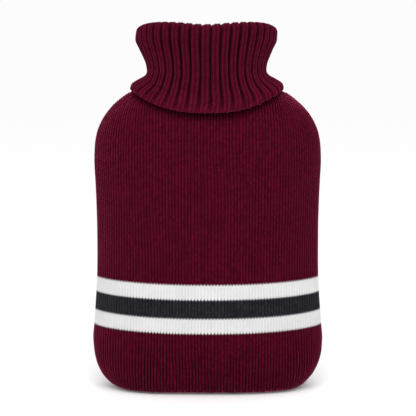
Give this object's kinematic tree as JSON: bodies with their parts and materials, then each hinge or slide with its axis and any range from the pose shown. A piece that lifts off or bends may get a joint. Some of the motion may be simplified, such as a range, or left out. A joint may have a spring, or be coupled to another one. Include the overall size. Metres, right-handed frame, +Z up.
{
  "type": "knitted hot water bottle cover",
  "caption": "Soft knitted pouch with a closed flat bottom, rounded shoulders and a folded ribbed roll neck, open at the top, standing upright.",
  "frame": {"origin": "on the floor, under the middle of the cover's bounding box", "axes": "+Z up from the closed bottom to the neck, -Y out of the front, +X to the right of the front"},
  "size_m": [0.2164, 0.0894, 0.3408],
  "materials": {
    "plain_knit": "fine plain knit in wine red wool-like yarn, with three bands in white, charcoal and white low on the pouch",
    "rib_knit": "two by two rib knit in the same wine red yarn, folded over to a double thickness"
  },
  "bodies": {
    "root": {"pouch": "plain_knit", "roll_neck": "rib_knit"}
  },
  "joints": []
}
